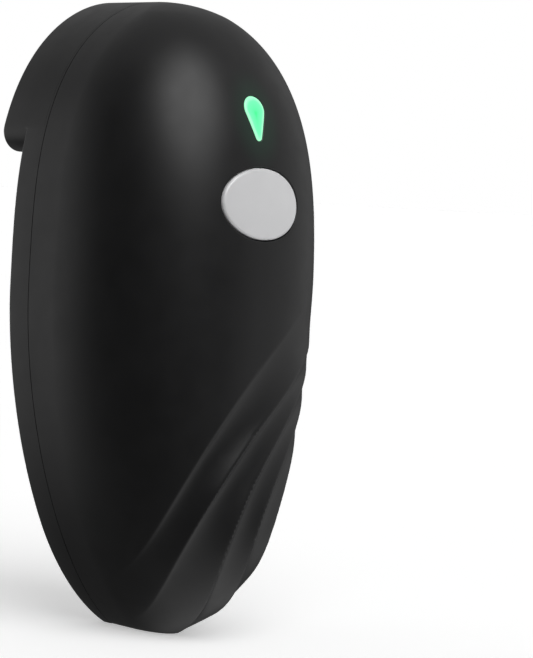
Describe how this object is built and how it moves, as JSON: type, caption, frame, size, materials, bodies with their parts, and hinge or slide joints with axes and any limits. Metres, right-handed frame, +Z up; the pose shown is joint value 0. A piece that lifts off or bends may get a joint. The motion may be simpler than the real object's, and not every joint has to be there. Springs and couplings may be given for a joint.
{
  "type": "electric can opener",
  "caption": "Cordless one-touch can opener: egg-shaped two-part casing with a fluted tail, oval button, drop-shaped lamp, geared drive wheel and swinging cutting wheel under a guard lip.",
  "frame": {"origin": "on the standing surface, under the middle of the body's box", "axes": "+Z up the body from the flat foot at the tail to the crown of the head, -Y out of the domed face with the button, +Y out of the deck that lies on the can, +X to the right seen from the front"},
  "size_m": [0.0846, 0.0734, 0.1836],
  "materials": {
    "casing": "fine matte moulded, soft sheen",
    "button": "satin silver paint",
    "lamp": "translucent green, lit",
    "dark_plastic": "matte",
    "white_plastic": "natural acetal",
    "steel": "brushed",
    "wheel_steel": "hardened and ground",
    "screw_steel": "zinc plated",
    "magnet": "nickel plated",
    "brass": "machined",
    "windings": "enamelled wire on steel",
    "cell": "shrink sleeve",
    "board": "solder mask"
  },
  "bodies": {
    "housing": {"front_shell": "casing", "rear_shell": "casing", "wear_plate": "steel", "lid_magnet": "magnet", "case_screws": "screw_steel", "plate_screws": "screw_steel", "tact_switch": "steel", "led_lens": "lamp", "led_chip": "white_plastic", "control_board": "board", "board_screws": "screw_steel", "battery_cell": "cell", "battery_tray": "dark_plastic", "battery_contacts": "brass", "tray_screws": "screw_steel", "charge_board": "board", "charge_socket": "steel", "motor_can": "steel", "motor_end_cap": "dark_plastic", "motor_magnets": "magnet", "motor_screws": "screw_steel", "gearbox_base": "white_plastic", "gearbox_cover": "white_plastic", "gearbox_screws": "screw_steel", "gear_axles": "steel", "shaft_bushing": "brass", "arm_pivot": "screw_steel", "arm_spring": "screw_steel"},
    "button": {"button_cap": "button", "switch_plunger": "dark_plastic"},
    "rotor": {"motor_shaft": "steel", "motor_armature": "windings", "motor_pinion": "brass"},
    "first": {"first_gear": "white_plastic"},
    "second": {"second_gear": "white_plastic"},
    "third": {"third_gear": "steel"},
    "drive": {"output_gear": "steel", "drive_shaft": "steel", "retaining_ring": "screw_steel", "drive_wheel": "wheel_steel", "wheel_screw": "screw_steel"},
    "arm": {"cutter_arm": "steel", "cutter_axle": "screw_steel"},
    "cutter": {"cutting_wheel": "wheel_steel"}
  },
  "joints": [
    {"name": "button_press", "type": "slide", "parent": "housing", "child": "button", "axis": [0, 1, 0], "range_m": [0, 0.0012], "stiffness_N_per_m": 900, "springref_m": -0.0008},
    {"name": "rotor_spin", "type": "hinge", "parent": "housing", "child": "rotor", "pos_m": [0.00122, 0, 0.09078], "axis": [0, -1, 0], "continuous": true},
    {"name": "first_spin", "type": "hinge", "parent": "housing", "child": "first", "pos_m": [0.01407, 0, 0.09305], "axis": [0, -1, 0], "continuous": true},
    {"name": "second_spin", "type": "hinge", "parent": "housing", "child": "second", "pos_m": [0.00498, 0, 0.10428], "axis": [0, -1, 0], "continuous": true},
    {"name": "third_spin", "type": "hinge", "parent": "housing", "child": "third", "pos_m": [-0.01409, 0, 0.10696], "axis": [0, -1, 0], "continuous": true},
    {"name": "drive_spin", "type": "hinge", "parent": "housing", "child": "drive", "pos_m": [0, 0, 0.1226], "axis": [0, -1, 0], "continuous": true},
    {"name": "arm_swing", "type": "hinge", "parent": "housing", "child": "arm", "pos_m": [0.017, 0, 0.1486], "axis": [0, -1, 0], "range_deg": [0, 20], "stiffness_Nm_per_rad": 0.05, "springref_deg": -11.46},
    {"name": "cutter_spin", "type": "hinge", "parent": "arm", "child": "cutter", "pos_m": [0, 0, 0.1449], "axis": [0, -1, 0], "continuous": true}
  ],
  "couplings": [
    {"joint": "first_spin", "follows": "rotor_spin", "ratio": -0.3},
    {"joint": "second_spin", "follows": "rotor_spin", "ratio": 0.1},
    {"joint": "third_spin", "follows": "rotor_spin", "ratio": -0.033333},
    {"joint": "drive_spin", "follows": "rotor_spin", "ratio": 0.013333}
  ]
}
